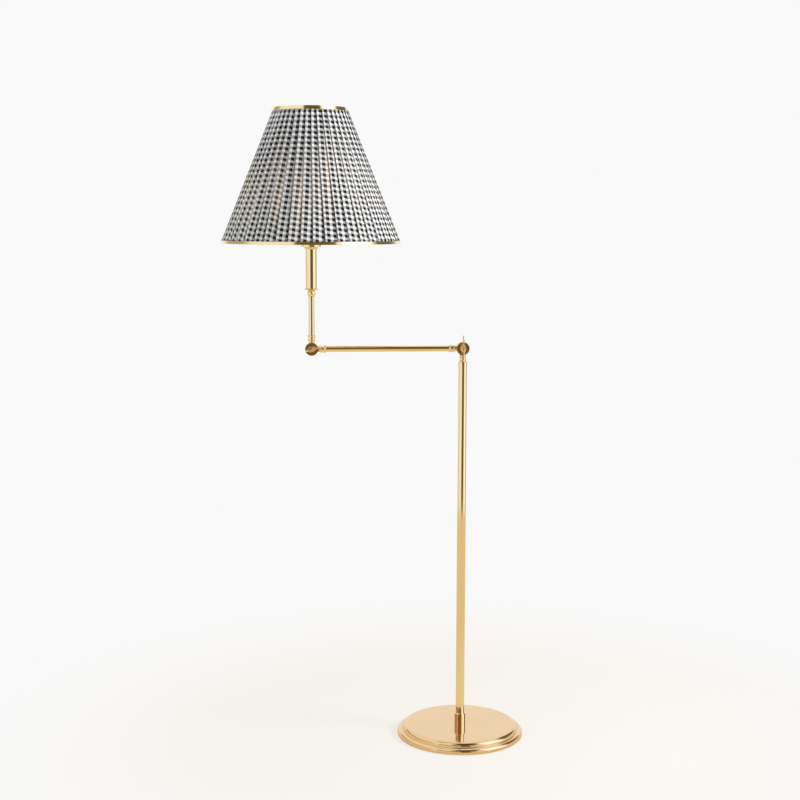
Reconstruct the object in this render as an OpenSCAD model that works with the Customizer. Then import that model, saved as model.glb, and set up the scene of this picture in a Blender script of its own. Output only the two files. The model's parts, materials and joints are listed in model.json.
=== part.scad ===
// Brass bridge floor lamp with a pleated gingham shade.
// A weighted round base carries a straight post. A knuckle joint on the post holds a level arm,
// and a second knuckle at its free end holds an upright with the lampholder and the shade.
// Origin: centre of the underside, on the floor. +Z is up, the arm points along -X and the
// thumb keys face -Y. Millimetres throughout.

/* [Base] */
// Outer diameter of the base
base_d = 280; // [250:2:320]
// Height of the flat top above the floor
base_h = 23.5; // [22:0.5:30]
// Wall of the spun cover
cover_t = 1.5; // [1:0.1:2]
// Clearance between the floor and the cover's lower edge
cover_lift = 1; // [0.5:0.1:1.5]
// Distance from the outer edge in to the step
step_in = 11; // [9:0.5:14]
// Height of the rim below the step
rim_h = 13; // [12:0.25:14]
// Radius of the rim's rounded upper edge
rim_round = 8; // [6:0.25:9]
// Radius of the shoulder between the step and the flat top
shoulder_r = 10.25; // [8:0.25:10.25]
// Thickness of the felt under the base
felt_t = 2; // [1.5:0.25:2.25]
// Clearance between the felt and the cover
felt_gap = 1.5; // [1:0.25:3]
// Height of the cast weight
weight_h = 16.5; // [14:0.5:17]
// Clearance between the weight and the cover
weight_gap = 2; // [1:0.25:3]
// Height of the straight lower edge of the weight
lip_h = 3; // [1:0.5:3.5]
// Rise of the slope between that edge and the upper wall
lip_slope = 1.5; // [0.5:0.25:2]
// Bevel on the weight's upper edge
weight_bevel = 4; // [2:0.5:6]
// Diameter of the weight's central boss, on which the cover rests
boss_d = 52; // [44:1:80]

/* [Base fixing] */
// Diameter of the recess for the nut and washer
recess_d = 40; // [34:1:42]
// Depth of that recess
recess_h = 9; // [8.5:0.25:10]
// Outer diameter of the threaded nipples
nipple_d = 9.5; // [8.5:0.25:11]
// Bore of the nipples
nipple_bore = 7; // [5:0.25:7.5]
// Clearance hole diameter round a nipple
nipple_hole = 11.5; // [11.25:0.25:13]
// Distance from the felt to the lower end of the base nipple
nipple_lift = 1.5; // [0.5:0.25:2]
// Nut, across flats
nut_af = 16; // [14:0.5:19]
// Height of the nut
nut_h = 4; // [3:0.25:4.5]
// Diameter of the washer
washer_d = 30; // [24:0.5:32]
// Thickness of the washer
washer_t = 2; // [1:0.25:2.5]

/* [Cord inlet] */
// Bore of the grommet in the back of the base
inlet_bore = 5.6; // [4:0.2:5.8]
// Wall of the grommet
grommet_wall = 0.8; // [0.6:0.1:0.9]
// Length of the grommet
grommet_l = 16; // [14:0.5:22]
// Width of the cord channel under the weight
channel_w = 9; // [8.5:0.5:14]
// Height of that channel
channel_h = 8; // [7.8:0.1:8.5]

/* [Post] */
// Height of the upper knuckle's centre above the floor
knuckle_z = 870; // [650:1:1100]
// Diameter of the post
post_d = 19; // [17:0.25:22]
// Wall of the tubes
tube_t = 1.2; // [0.8:0.1:1.6]
// Diameter of the stem collar
collar_d = 24.5; // [23.5:0.25:32]
// Height of the stem collar
collar_h = 24.5; // [16:0.5:45]
// Thickness of the collar's floor
collar_web = 8; // [5:0.5:12]
// Bevel on the collar's upper edge
collar_bevel = 1; // [0.25:0.25:1.5]
// Diameter of the post cap
cap_d = 20.4; // [20:0.2:25]
// Length of the cap's cylinder
cap_skirt_l = 9.5; // [7:0.5:14]
// Length of the cap's taper
cap_taper_l = 3; // [2:0.25:6]
// Diameter of the cap's bead
cap_bead_d = 15.8; // [15:0.2:18]
// Thickness of the cap's bead
cap_bead_w = 3; // [2:0.25:3.5]
// Length of the cap's neck
cap_neck_l = 6.3; // [5:0.25:9]
// Thickness of the cap's floor under the swivel
cap_web = 13; // [9:0.5:16]
// Length of the cap's plug in the post
plug_l = 12; // [8:0.5:20]

/* [Swivel] */
// Diameter of the swivel spigot
spigot_d = 8; // [7:0.25:9]
// Diameter of the nut under the swivel
swivel_nut_d = 11.5; // [10:0.25:12]
// Height of that nut
swivel_nut_h = 5; // [3:0.5:7]
// Thickness of the swivel washer
swivel_washer_t = 0.7; // [0.5:0.1:1.5]
// Diameter of the hollow below the cap's floor
cap_hollow_d = 12.6; // [12.4:0.1:13]

/* [Knuckles] */
// Diameter of the knuckles
knuckle_d = 29; // [27:0.5:34]
// Thickness of a knuckle across its two flats
knuckle_t = 16; // [15.5:0.5:20]
// Diameter of the necks
neck_d = 13; // [11:0.25:14]
// Length of the neck below the upper knuckle
post_neck_l = 4.8; // [3.5:0.1:8]
// Length of the necks on the arm and the upright
neck_l = 3.5; // [2:0.1:6]
// Diameter of the plug that joins a neck to its ferrule
neck_plug_d = 9; // [8:0.25:9.5]
// Length of that plug
neck_plug_l = 5; // [3:0.5:7]
// Diameter of the pivot tenon on a rear half
tenon_d = 12; // [10:0.25:14]
// Length of the pivot tenon
tenon_l = 5; // [3:0.25:6]
// Thickness of the friction washers
friction_t = 0.8; // [0.5:0.1:1.5]
// Diameter of the friction washers
friction_d = 26; // [20:0.5:26.5]
// Depth of the screw hole's blind end below the rear flat
screw_cover = 3; // [2:0.25:5]

/* [Thumb keys] */
// Diameter of the clamping screws
screw_d = 5; // [4:0.25:6]
// Diameter of the collar on a key
key_collar_d = 12; // [10:0.5:13]
// Thickness of that collar
key_collar_t = 2.5; // [1.5:0.25:4]
// Length of the key's lens-shaped hub
hub_l = 21; // [18:0.5:24]
// Width of the hub
hub_w = 11; // [8:0.5:12]
// Height of the hub in front of the collar
hub_h = 5; // [3:0.5:8]
// Thickness of the key's blade
key_t = 2.4; // [1.6:0.1:3.5]
// Reach of the key's long wing from the screw
long_reach = 30.5; // [28:0.5:36]
// Radius of the long wing's round end
long_round = 9.5; // [8:0.25:11]
// Reach of the key's short wing
short_reach = 14; // [12:0.5:18]
// Radius of the short wing's round end
short_round = 6.5; // [5:0.25:7.5]
// Angle of the upper key's long wing, from straight up towards +X
post_key_angle = 0; // [0:5:355]
// Angle of the lower key's long wing, from straight up towards +X
arm_key_angle = 73; // [0:1:359]

/* [Arm and ferrules] */
// Distance between the two knuckles
arm_reach = 329; // [250:1:450]
// Diameter of the arm and the upright
arm_d = 13; // [12:0.25:14]
// Diameter of a ferrule's sleeve
sleeve_d = 15.4; // [15.2:0.1:17]
// Diameter of a ferrule's large bead
bead_d = 18; // [17:0.25:20]
// Width of the large bead
bead_w = 4.4; // [3:0.2:5]
// Diameter of the small bead
small_bead_d = 16.8; // [16.2:0.1:18]
// Width of the small bead
small_bead_w = 2.6; // [2:0.1:3]
// Length of a ferrule
ferrule_l = 13; // [11:0.5:18]
// Diameter of the flex inside the tubes
flex_d = 4; // [3:0.25:4.5]
// Clearance round the flex where it is held
flex_gap = 0.3; // [0.2:0.05:0.5]

/* [Upright] */
// Height of the upright tube's top above the arm's centre line
upright_l = 113.6; // [80:0.1:180]
// Diameter of the ball coupling
ball_d = 18.5; // [17:0.25:24]
// Height of the ball coupling between its flats
ball_h = 14; // [12:0.5:15]
// Length of the ball coupling's plug in the upright
ball_plug_l = 10; // [6:0.5:16]
// Depth of the nipple's seat in the ball coupling
nipple_seat = 6; // [4:0.5:7]
// Diameter of the drip cup
cup_d = 31.5; // [29:0.25:40]
// Thickness of the drip cup
cup_t = 1.2; // [0.8:0.1:2]
// Height of the drip cup's hub
cup_hub_h = 3.2; // [2.5:0.1:6]
// Diameter of the drip cup's hub
cup_hub_d = 15; // [13.5:0.5:18]
// Drop of the cup's edge below its flat
cup_droop = 1.6; // [0.5:0.1:2]
// Outer diameter of the candle tube
candle_d = 24.5; // [22:0.25:28]
// Wall of the candle tube
candle_t = 1; // [0.6:0.1:2]
// Length of the candle tube
candle_l = 84; // [60:0.5:120]
// Diameter of the flared gallery that carries the shade
flare_d = 45; // [44:0.5:56]
// Height of the gallery
flare_h = 6.4; // [5:0.2:9]
// Thickness of the gallery's rim
flare_rim = 1.2; // [0.8:0.1:2]
// Radius of the gallery's hollow curve
flare_r = 10; // [8:0.5:10.5]

/* [Lampholder and bulb] */
// Diameter of the lampholder
holder_d = 38; // [34:0.5:39]
// Height of the lampholder
holder_h = 50; // [44:0.5:60]
// Diameter of the lampholder's flange
holder_flange_d = 43; // [42:0.25:44]
// Thickness of that flange
holder_flange_h = 8; // [6:0.5:10]
// Thickness of the lampholder's floor
holder_floor = 20; // [16:0.5:24]
// Outer diameter of the ring nut that clamps the shade
ring_nut_d = 47; // [44:0.5:54]
// Height of the ring nut
ring_nut_h = 6; // [4:0.5:10]
// Diameter of the bulb's screw cap
bulb_cap_d = 26.4; // [22:0.2:27]
// Height of the cap
bulb_cap_h = 26; // [22:0.5:28]
// Diameter of the bulb
bulb_d = 60; // [45:1:70]
// Overall length of the bulb
bulb_l = 108; // [100:1:125]
// Diameter of the bulb's neck
bulb_neck_d = 27; // [24:0.5:27]
// Wall of the bulb's glass
glass_t = 1; // [0.6:0.1:1.5]
// Wall of the bulb's cap
bulb_cap_t = 0.6; // [0.4:0.1:1]
// Radius of the curve between the neck and the globe
bulb_fillet = 40; // [30:1:50]
// Clearance of the cap in the lampholder
cap_gap = 0.4; // [0.3:0.05:0.8]

/* [Shade] */
// Height of the shade
shade_h = 283.5; // [240:0.5:330]
// Diameter over the bottom trim
shade_bottom_d = 388; // [350:1:440]
// Diameter over the top trim
shade_top_d = 159; // [140:1:200]
// Distance from the shade's lower edge up to the spokes
shade_drop = 2.9; // [2.4:0.1:6]
// Number of pleats
pleats = 47; // [40:1:56]
// Depth of a pleat
pleat_depth = 2.6; // [1:0.1:3]
// Thickness of the cloth behind a pleat's valley
cloth_t = 1.2; // [0.6:0.1:2]
// Thickness of the lining
lining_t = 0.5; // [0.4:0.1:1.5]
// Wall of the metal trims
trim_t = 0.9; // [0.5:0.1:1.5]
// Height of the bottom trim
bottom_trim_h = 6.5; // [4:0.25:12]
// Height of the top trim
top_trim_h = 7.5; // [4:0.25:12]
// Width of the trims' inward lip
trim_lip = 5; // [3:0.25:6]

/* [Shade frame] */
// Diameter of the wire of the two rings
wire_d = 3; // [2.5:0.25:4]
// Diameter of the ribs
rib_d = 2; // [1.6:0.1:3]
// Number of ribs
ribs = 12; // [9:1:16]
// Diameter of the spokes
spoke_d = 3; // [2:0.1:4]
// Number of spokes
spokes = 3; // [3:1:4]
// Outer diameter of the fitter's ring
fitter_d = 47; // [44:0.5:54]
// Thickness of the fitter's ring
fitter_t = 3; // [2:0.25:4]

/* [Hidden] */
// Clearances that every fit below uses
THREAD_FIT = 0.05;     // a threaded or pressed piece in its hole, on the radius
RUN_FIT = 0.05;        // a turning piece in its bore, on the radius
JOINT_GAP = 0.3;       // between faces that turn past each other
SWING_GAP = 0.5;       // between a knuckle's ball and the other half's neck
SKIN_GAP = 0.1;        // between the shade's layers
OVER = 0.5;            // how far a cut runs past the face it opens
BIG = 60;              // a cutting block larger than any knuckle
$fn = 96;

BRASS = "#d8b06a";
BRONZE = "#8a6430";
STEEL = "#b8bcc0";

// Base
base_r = base_d / 2;
step_r = base_r - step_in;
rim_x = base_r - rim_round;
rim_z = rim_h - rim_round;
cover_inside = base_h - cover_t;
lip_z = felt_t + lip_h;
lip_r = rim_x + sqrt(pow(rim_round - cover_t, 2) - pow(max(lip_z - rim_z, 0), 2)) - weight_gap;
weight_r = step_r - cover_t - weight_gap;
weight_top = felt_t + weight_h;
recess_top = felt_t + recess_h;
felt_r = base_r - cover_t - felt_gap;
grommet_r = inlet_bore / 2 + grommet_wall;
inlet_z = felt_t + JOINT_GAP + grommet_r;
inlet_y = base_r - JOINT_GAP;

// Post and swivel, measured down from the upper knuckle's centre where negative
knuckle_r = knuckle_d / 2;
post_neck_end = knuckle_r + post_neck_l;
cap_top = -(post_neck_end + swivel_washer_t + JOINT_GAP);
cap_shoulder = cap_top - cap_neck_l - cap_taper_l;
cap_base = cap_shoulder - cap_skirt_l;
cap_floor = cap_top - cap_web;
post_bore = post_d - 2 * tube_t;
post_foot = base_h + collar_web;
nipple_top = post_foot - JOINT_GAP;
spigot_end = cap_floor - JOINT_GAP - swivel_nut_h - 1;

// Knuckles: the rear half starts at face_rear, the front half ends at face_front
flat_y = knuckle_t / 2;
face_rear = (friction_t + JOINT_GAP) / 2;
face_front = -face_rear;
washer_front = face_rear - friction_t;
tenon_end = face_rear - tenon_l;
swing_r = knuckle_r + SWING_GAP;
neck_end = knuckle_r + neck_l;
key_seat = -flat_y - JOINT_GAP;
screw_end = flat_y - screw_cover;

// Ferrules and tubes, measured out from a knuckle's centre
ferrule_end = neck_end + ferrule_l;
tube_start = neck_end + neck_plug_l;
arm_bore = arm_d - 2 * tube_t;
flex_hole = flex_d + 2 * flex_gap;
flex_start = neck_end + 1;

// Upright, measured up from the lower knuckle's centre
ball_z = upright_l + ball_h / 2;
ball_top = upright_l + ball_h;
cup_top = ball_top + cup_hub_h;
candle_top = cup_top + candle_l;
gallery_top = candle_top + flare_h;
flange_top = gallery_top + holder_flange_h;
holder_top = gallery_top + holder_h;
cap_foot = gallery_top + holder_floor + cap_gap;
cap_head = cap_foot + bulb_cap_h;
bulb_top = cap_foot + bulb_l;
bulb_z = bulb_top - bulb_d / 2;
cap_floor_h = 4;       // height of the bulb cap's insulating floor
contact_d = 10;        // diameter of the bulb's centre contact

// Shade, measured up from the lower knuckle's centre
spoke_z = flange_top + fitter_t / 2;
shade_z = spoke_z - shade_drop;
shade_end = shade_z + shade_h;
crest_bottom = shade_bottom_d / 2 - trim_t - SKIN_GAP;
crest_top = shade_top_d / 2 - trim_t - SKIN_GAP;
slope = (crest_top - crest_bottom) / shade_h;
slant = sqrt(1 + slope * slope);
cover_back = pleat_depth + cloth_t;
lining_front = cover_back + SKIN_GAP;
lining_back = lining_front + lining_t;
ring_in = lining_back + SKIN_GAP + wire_d / 2 * slant;
rib_in = lining_back + SKIN_GAP + rib_d / 2 * slant;
top_ring_z = shade_end - shade_drop;
// A rib stops short of a ring by what its slanted end drops
rib_clear = wire_d / 2 - rib_d / 2 * slope / slant + SKIN_GAP;
rib_foot = spoke_z + rib_clear;
rib_head = top_ring_z - rib_clear;
// One pleat's outline: [share of the pleat's width, share of its depth below the crest]
PLEAT = [[0, 1], [0.1, 0.15], [0.3, 0], [0.6, 0.2], [0.85, 0.65]];

// Places: children are drawn round a knuckle's centre
module at_post() { translate([0, 0, knuckle_z]) children(); }
module at_head() { translate([-arm_reach, 0, knuckle_z]) children(); }
module point_down() { rotate([180, 0, 0]) children(); }
module point_left() { rotate([0, -90, 0]) children(); }
module point_right() { rotate([0, 90, 0]) children(); }
// A cylinder along +Y from y0 to y1
module bar_y(d, y0, y1) { translate([0, y0, 0]) rotate([-90, 0, 0]) cylinder(d = d, h = y1 - y0); }
// A plain tube from z0 to z1
module pipe(d, bore, z0, z1) {
    translate([0, 0, z0]) difference() {
        cylinder(d = d, h = z1 - z0);
        translate([0, 0, -OVER]) cylinder(d = bore, h = z1 - z0 + 2 * OVER);
    }
}
// Half-plane rectangle from radius 0 to r, between z0 and z1
module slab(r, z0, z1) { translate([0, z0]) square([r, z1 - z0]); }
// A turned bead of outer diameter d and width w, centred at height z
module bead(d, w, z) { translate([d / 2 - w / 2, z]) circle(d = w); slab(d / 2 - w / 2, z - w / 2, z + w / 2); }

// ---- Base ----

// Section of the spun base, drawn in by t: flat top, round shoulder, step and rounded rim
module base_section(t) {
    slab(step_r - shoulder_r, -OVER, base_h - t);
    slab(step_r - t, -OVER, base_h - shoulder_r);
    translate([step_r - shoulder_r, base_h - shoulder_r]) circle(r = shoulder_r - t);
    slab(base_r - t, -OVER, rim_z);
    translate([rim_x, rim_z]) circle(r = rim_round - t);
    slab(rim_x, rim_z, rim_h - t);
}
module base_cover() color(BRASS) {
    difference() {
        rotate_extrude($fn = 180) difference() {
            intersection() {
                base_section(0);
                translate([0, cover_lift]) square([base_r, base_h]);
            }
            base_section(cover_t);
        }
        cylinder(d = nipple_hole, h = base_h + OVER);
        translate([0, 0, inlet_z]) bar_y(2 * (grommet_r + THREAD_FIT), step_r - step_in, base_r + OVER);
    }
}
module base_weight() color("#4a4a4c") {
    difference() {
        rotate_extrude($fn = 180) {
            polygon([
                [0, felt_t], [lip_r, felt_t], [lip_r, lip_z], [weight_r, lip_z + lip_slope],
                [weight_r, weight_top - weight_bevel], [weight_r - weight_bevel, weight_top],
                [0, weight_top]
            ]);
            slab(boss_d / 2, weight_top - OVER, cover_inside);
        }
        cylinder(d = nipple_hole, h = base_h);
        translate([0, 0, felt_t - OVER]) cylinder(d = recess_d, h = recess_h + OVER);
        translate([-channel_w / 2, 0, felt_t - OVER]) cube([channel_w, base_r, channel_h + OVER]);
    }
}
module base_felt() color("#2f3a30") cylinder(r = felt_r, h = felt_t, $fn = 180);
module base_nipple() color(STEEL) pipe(nipple_d, nipple_bore, felt_t + nipple_lift, nipple_top);
module base_washer() color(STEEL)
    pipe(washer_d, nipple_d + 2 * THREAD_FIT, recess_top - washer_t, recess_top);
module base_nut() color(STEEL) {
    translate([0, 0, recess_top - washer_t - nut_h]) difference() {
        cylinder(d = nut_af / cos(30), h = nut_h, $fn = 6);
        translate([0, 0, -OVER]) cylinder(d = nipple_d + 2 * THREAD_FIT, h = nut_h + 2 * OVER);
    }
}
module cord_grommet() color("#222222") {
    translate([0, 0, inlet_z]) difference() {
        bar_y(2 * grommet_r, inlet_y - grommet_l, inlet_y);
        bar_y(inlet_bore, inlet_y - grommet_l - OVER, inlet_y + OVER);
    }
}

// ---- Post ----

module stem_collar() color(BRASS) {
    translate([0, 0, base_h]) difference() {
        rotate_extrude() polygon([
            [0, 0], [collar_d / 2, 0], [collar_d / 2, collar_h - collar_bevel],
            [collar_d / 2 - collar_bevel, collar_h], [0, collar_h]
        ]);
        translate([0, 0, -OVER]) cylinder(d = nipple_d + 2 * THREAD_FIT, h = collar_web + 2 * OVER);
        translate([0, 0, collar_web]) cylinder(d = post_d + 2 * THREAD_FIT, h = collar_h);
    }
}
module post_tube() color(BRASS) pipe(post_d, post_bore, post_foot, knuckle_z + cap_base);
// Turned cap: skirt, taper, bead and neck above, plug inside the post below
module post_cap() color(BRASS) {
    at_post() difference() {
        rotate_extrude() {
            slab(post_bore / 2 - THREAD_FIT, cap_base - plug_l, cap_base + OVER);
            polygon([
                [0, cap_base], [cap_d / 2, cap_base], [cap_d / 2, cap_shoulder],
                [neck_d / 2, cap_shoulder + cap_taper_l], [0, cap_shoulder + cap_taper_l]
            ]);
            slab(neck_d / 2, cap_shoulder, cap_top);
            bead(cap_bead_d, cap_bead_w, cap_top - cap_neck_l + cap_bead_w / 2);
        }
        translate([0, 0, cap_floor - OVER]) cylinder(d = spigot_d + 2 * RUN_FIT, h = cap_web + 2 * OVER);
        translate([0, 0, cap_base - plug_l - OVER])
            cylinder(d = cap_hollow_d, h = cap_floor - cap_base + plug_l + OVER);
    }
}
module post_flex() color("#dcd6c4")
    translate([0, 0, post_foot]) cylinder(d = flex_d, h = knuckle_z + cap_floor - post_foot);

// ---- Knuckles ----

// A block on one side of the knuckle, from y0 outwards: side 1 is the rear, side -1 the front
module side_block(side, y0) {
    translate([-BIG / 2, side > 0 ? y0 : y0 - BIG, -BIG / 2]) cube([BIG, BIG, BIG]);
}
// One half of a knuckle with its neck along +Z, its plug and its flex hole.
// Inside the swing radius it keeps to its own side, so that the other half can turn past it.
module knuckle_half(side, face, end, plug_d, plug_end) {
    difference() {
        union() {
            intersection() {
                union() {
                    sphere(d = knuckle_d);
                    cylinder(d = neck_d, h = swing_r + OVER);
                }
                side_block(side, face);
                translate([0, side > 0 ? flat_y - BIG : -flat_y, 0]) side_block(1, 0);
            }
            translate([0, 0, swing_r]) cylinder(d = neck_d, h = end - swing_r);
            translate([0, 0, end - OVER]) cylinder(d = plug_d, h = plug_end - end + OVER);
            if (side > 0) bar_y(tenon_d, tenon_end, face + OVER);
        }
        translate([0, 0, swing_r + 1]) cylinder(d = flex_hole, h = plug_end);
        if (side > 0) bar_y(screw_d + 2 * RUN_FIT, tenon_end - OVER, screw_end + JOINT_GAP);
        if (side < 0) {
            bar_y(screw_d + 2 * RUN_FIT, -flat_y - OVER, face + OVER);
            bar_y(tenon_d + 2 * RUN_FIT, tenon_end - JOINT_GAP, face + OVER);
        }
    }
}
module rear_half() knuckle_half(1, face_rear, neck_end, neck_plug_d, tube_start);
module front_half() knuckle_half(-1, face_front, neck_end, neck_plug_d, tube_start);
module friction_washer() color("#cfcabb") difference() {
    bar_y(friction_d, washer_front, face_rear);
    bar_y(tenon_d + 2 * RUN_FIT, washer_front - OVER, face_rear + OVER);
}

module post_knuckle() color(BRONZE)
    at_post() point_down() mirror([0, 1, 0])
        knuckle_half(1, face_rear, post_neck_end, spigot_d, -spigot_end);
module swivel_washer() color("#cfcabb") at_post()
    pipe(neck_d, spigot_d + 2 * THREAD_FIT, -post_neck_end - swivel_washer_t, -post_neck_end);
module swivel_nut() color(STEEL) at_post()
    pipe(swivel_nut_d, spigot_d + 2 * THREAD_FIT, cap_floor - JOINT_GAP - swivel_nut_h,
        cap_floor - JOINT_GAP);
module post_friction_washer() at_post() friction_washer();
module arm_friction_washer() at_head() friction_washer();

// ---- Arm ----

// Turned ferrule along +Z: small bead, sleeve, large bead. It seats the neck's plug and the tube.
module ferrule() color(BRASS) difference() {
    rotate_extrude() {
        slab(sleeve_d / 2, neck_end, ferrule_end);
        bead(small_bead_d, small_bead_w, neck_end + small_bead_w / 2 + 0.6);
        bead(bead_d, bead_w, ferrule_end - bead_w / 2 - 0.8);
    }
    translate([0, 0, neck_end - OVER]) cylinder(d = neck_plug_d + 2 * THREAD_FIT, h = ferrule_l);
    translate([0, 0, tube_start]) cylinder(d = arm_d + 2 * THREAD_FIT, h = ferrule_l);
}
module arm_knuckle_inner() color(BRONZE) at_post() point_left() front_half();
module arm_ferrule_inner() at_post() point_left() ferrule();
module arm_tube() color(BRASS) at_post() point_left()
    pipe(arm_d, arm_bore, tube_start, arm_reach - tube_start);
module arm_flex() color("#dcd6c4") at_post() point_left()
    translate([0, 0, flex_start]) cylinder(d = flex_d, h = arm_reach - 2 * flex_start);
module arm_ferrule_outer() at_head() point_right() ferrule();
module arm_knuckle_outer() color(BRONZE) at_head() point_right() rear_half();

// ---- Upright ----

module upright_knuckle() color(BRONZE) at_head() front_half();
module upright_ferrule() at_head() ferrule();
module upright_tube() color(BRASS) at_head() pipe(arm_d, arm_bore, tube_start, upright_l);
module upright_flex() color("#dcd6c4") at_head()
    translate([0, 0, flex_start]) cylinder(d = flex_d, h = gallery_top - flex_start);
module ball_coupling() color(BRASS) at_head() difference() {
    union() {
        intersection() {
            translate([0, 0, ball_z]) sphere(d = ball_d);
            translate([0, 0, upright_l]) cylinder(d = ball_d + OVER, h = ball_h);
        }
        translate([0, 0, upright_l - ball_plug_l])
            cylinder(d = arm_bore - 2 * THREAD_FIT, h = ball_plug_l + OVER);
    }
    translate([0, 0, upright_l - ball_plug_l - OVER]) cylinder(d = flex_hole, h = ball_top);
    translate([0, 0, ball_top - nipple_seat])
        cylinder(d = nipple_d + 2 * THREAD_FIT, h = nipple_seat + OVER);
}
module riser_nipple() color(STEEL) at_head()
    pipe(nipple_d, nipple_bore, ball_top - nipple_seat, flange_top + nipple_seat);
// Drip cup: a hub, a flat that carries the candle tube, and an edge that droops
module drip_cup() color(BRASS) at_head() difference() {
    rotate_extrude() {
        slab(cup_hub_d / 2, ball_top, cup_top);
        polygon([
            [0, cup_top - cup_t], [candle_d / 2, cup_top - cup_t],
            [cup_d / 2, cup_top - cup_t - cup_droop], [cup_d / 2, cup_top - cup_droop],
            [candle_d / 2, cup_top], [0, cup_top]
        ]);
    }
    translate([0, 0, ball_top - OVER])
        cylinder(d = nipple_d + 2 * THREAD_FIT, h = cup_hub_h + 2 * OVER);
}
module candle_tube() color(BRASS) at_head()
    pipe(candle_d, candle_d - 2 * candle_t, cup_top, candle_top);
// Gallery: a hollow flare from the candle tube out to the rim under the shade
module shade_gallery() color(BRASS) at_head() difference() {
    rotate_extrude() difference() {
        slab(flare_d / 2, candle_top, gallery_top);
        translate([flare_d / 2, gallery_top - flare_rim - flare_r]) circle(r = flare_r);
    }
    translate([0, 0, candle_top - OVER])
        cylinder(d = nipple_d + 2 * THREAD_FIT, h = flare_h + 2 * OVER);
}
module lampholder() color("#efeae0") at_head() difference() {
    rotate_extrude() {
        slab(holder_flange_d / 2, gallery_top, flange_top);
        slab(holder_d / 2, gallery_top, holder_top);
    }
    translate([0, 0, gallery_top - OVER])
        cylinder(d = nipple_d + 2 * THREAD_FIT, h = holder_flange_h + nipple_seat + OVER);
    translate([0, 0, gallery_top + holder_floor])
        cylinder(d = bulb_cap_d + 2 * cap_gap, h = holder_h);
}
module shade_ring_nut() color("#efeae0") at_head()
    pipe(ring_nut_d, holder_d + 2 * THREAD_FIT, flange_top + fitter_t,
        flange_top + fitter_t + ring_nut_h);
// Bulb cap: a thin shell with an insulating floor that narrows to the centre contact
module bulb_cap() color(STEEL) at_head() {
    floor_top = cap_foot + cap_floor_h;
    rotate_extrude() {
        difference() {
            slab(bulb_cap_d / 2, floor_top, cap_head);
            slab(bulb_cap_d / 2 - bulb_cap_t, floor_top + bulb_cap_t, cap_head + OVER);
        }
        polygon([[0, cap_foot], [contact_d / 2, cap_foot], [bulb_cap_d / 2 - 2, floor_top], [0, floor_top]]);
    }
}
// Bulb: a globe and a neck, joined by a hollow curve that touches both
module bulb_section(t) {
    curve_x = bulb_neck_d / 2 + bulb_fillet;
    curve_z = bulb_z - sqrt(pow(bulb_d / 2 + bulb_fillet, 2) - curve_x * curve_x);
    translate([0, bulb_z]) circle(r = bulb_d / 2 - t);
    slab(bulb_neck_d / 2 - t, cap_head - OVER, curve_z + OVER);
    difference() {
        polygon([[0, curve_z], [curve_x, curve_z], [0, bulb_z]]);
        translate([curve_x, curve_z]) circle(r = bulb_fillet + t);
    }
}
module bulb_glass() color("#f6f1e6") at_head() rotate_extrude() difference() {
    intersection() {
        bulb_section(0);
        slab(bulb_d, cap_head, bulb_top);
    }
    bulb_section(glass_t);
}

// ---- Shade ----

// Radius of the pleats' crests at height z
function crest(z) = crest_bottom + slope * (z - shade_z);
// A straight-sided conical band between two insets from the crest line, from z0 to z1
module band(out, in, z0, z1) {
    polygon([
        [crest(z0) - in, z0], [crest(z0) - out, z0], [crest(z1) - out, z1], [crest(z1) - in, z1]
    ]);
}
// One closed ring of the cloth's points at height z, pleated outside and plain inside
function pleat_ring(z, inside) = [
    for (p = [0 : pleats - 1], s = PLEAT)
        let (a = 360 * (p + s[0]) / pleats, r = crest(z) - (inside ? cover_back : pleat_depth * s[1]))
        [r * cos(a), r * sin(a), z]
];
module shade_cover() color("#e8e6e2") at_head() {
    z0 = shade_z + SKIN_GAP;
    z1 = shade_end - SKIN_GAP;
    count = pleats * len(PLEAT);
    points = concat(
        pleat_ring(z0, false), pleat_ring(z1, false), pleat_ring(z1, true), pleat_ring(z0, true));
    faces = [
        for (k = [0 : 3], i = [0 : count - 1], half = [0, 1])
            let (j = (i + 1) % count, a = k * count, b = (k + 1) % 4 * count)
            half == 0 ? [a + i, b + i, b + j] : [a + i, b + j, a + j]
    ];
    polyhedron(points, faces);
}
module shade_lining() color("#f4f0e6") at_head()
    rotate_extrude($fn = 180) band(lining_front, lining_back, shade_z + SKIN_GAP, shade_end - SKIN_GAP);
// Bottom trim: a sloping band outside the cloth with a lip turned in under its edge
module bottom_trim() color(BRASS) at_head() rotate_extrude($fn = 180) {
    band(-SKIN_GAP - trim_t, -SKIN_GAP, shade_z - trim_t, shade_z + bottom_trim_h - trim_t);
    band(-SKIN_GAP - trim_t / 2, trim_lip, shade_z - trim_t, shade_z);
}
module top_trim() color(BRASS) at_head() rotate_extrude($fn = 180) {
    band(-SKIN_GAP - trim_t, -SKIN_GAP, shade_end + trim_t - top_trim_h, shade_end + trim_t);
    band(-SKIN_GAP - trim_t / 2, trim_lip, shade_end, shade_end + trim_t);
}
// A round wire ring that lies against the lining at height z
module wire_ring(z) rotate_extrude($fn = 180) translate([crest(z) - ring_in, z]) circle(d = wire_d, $fn = 32);
module frame_bottom_ring() color("#d9d2c0") at_head() wire_ring(spoke_z);
module frame_top_ring() color("#d9d2c0") at_head() wire_ring(top_ring_z);
module frame_ribs() color("#d9d2c0") at_head() {
    foot = crest(rib_foot) - rib_in;
    head = crest(rib_head) - rib_in;
    length = sqrt(pow(foot - head, 2) + pow(rib_head - rib_foot, 2));
    for (i = [0 : ribs - 1]) rotate([0, 0, (i + 0.5) * 360 / ribs])
        translate([foot, 0, rib_foot]) rotate([0, -atan2(foot - head, rib_head - rib_foot), 0])
            cylinder(d = rib_d, h = length, $fn = 24);
}
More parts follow.
